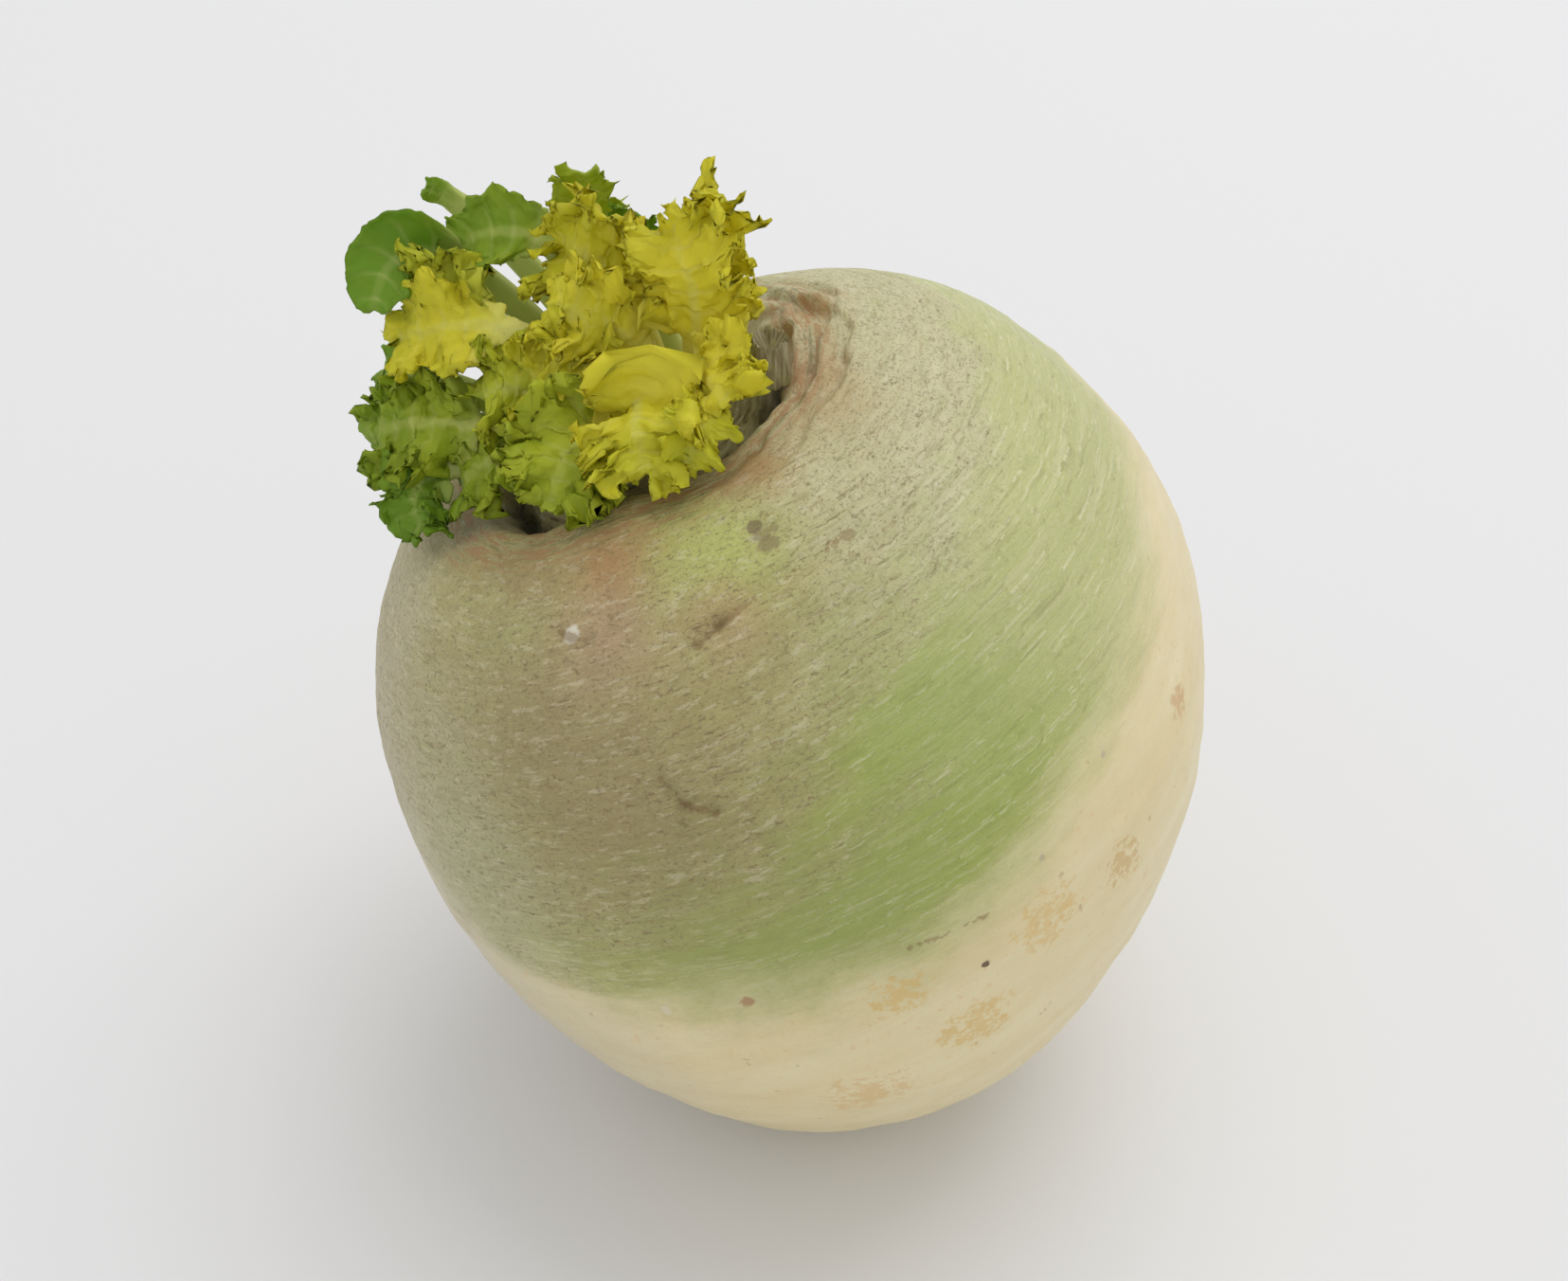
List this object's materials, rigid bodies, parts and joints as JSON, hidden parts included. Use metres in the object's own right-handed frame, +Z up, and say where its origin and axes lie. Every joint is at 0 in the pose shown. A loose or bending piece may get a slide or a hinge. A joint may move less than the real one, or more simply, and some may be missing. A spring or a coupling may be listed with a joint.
{
  "type": "green radish",
  "caption": "Round green-shouldered radish with a blunt cream base and a short tuft of young leaves, resting at a lean.",
  "frame": {"origin": "centre of the small flat spot the bulb rests on", "axes": "+Z up; the crown and its leaves lean towards -X and a little towards +Y; the blunt tail points down towards +X"},
  "size_m": [0.1173, 0.1142, 0.1472],
  "materials": {
    "skin": "satin, waxy skin: cream base, green shoulders",
    "dry_stump": "dull, dry and fibrous",
    "leaf_smooth_green": "satin, smooth and thin",
    "leaf_frilled_green": "satin, crinkled and thin",
    "leaf_frilled_lime": "satin, crinkled and thin",
    "leaf_frilled_yellow": "satin, crinkled and thin"
  },
  "bodies": {
    "root": {"root": "skin", "stalk_old_stump": "dry_stump", "leaf_front_frill": "leaf_frilled_lime", "leaf_front_yellow": "leaf_frilled_yellow", "leaf_hanging_narrow": "leaf_frilled_yellow", "leaf_right_star": "leaf_frilled_yellow", "leaf_centre_spoon": "leaf_frilled_yellow", "leaf_centre_heart": "leaf_frilled_yellow", "leaf_middle_ruffle": "leaf_frilled_lime", "leaf_left_arch": "leaf_frilled_green", "leaf_left_curl": "leaf_frilled_green", "leaf_left_big": "leaf_frilled_green", "leaf_left_thorn": "leaf_frilled_green", "leaf_left_skirt": "leaf_frilled_green", "leaf_left_spoon": "leaf_frilled_yellow", "leaf_centre_fan": "leaf_frilled_yellow", "leaf_right_bright": "leaf_frilled_yellow", "leaf_right_tall": "leaf_frilled_yellow", "leaf_crinkled": "leaf_frilled_yellow", "leaf_dark_tips": "leaf_frilled_green", "leaf_pale_top": "leaf_frilled_lime", "leaf_back_broad": "leaf_smooth_green", "leaf_round_green": "leaf_smooth_green", "stalk_torn": "leaf_smooth_green"}
  },
  "joints": []
}
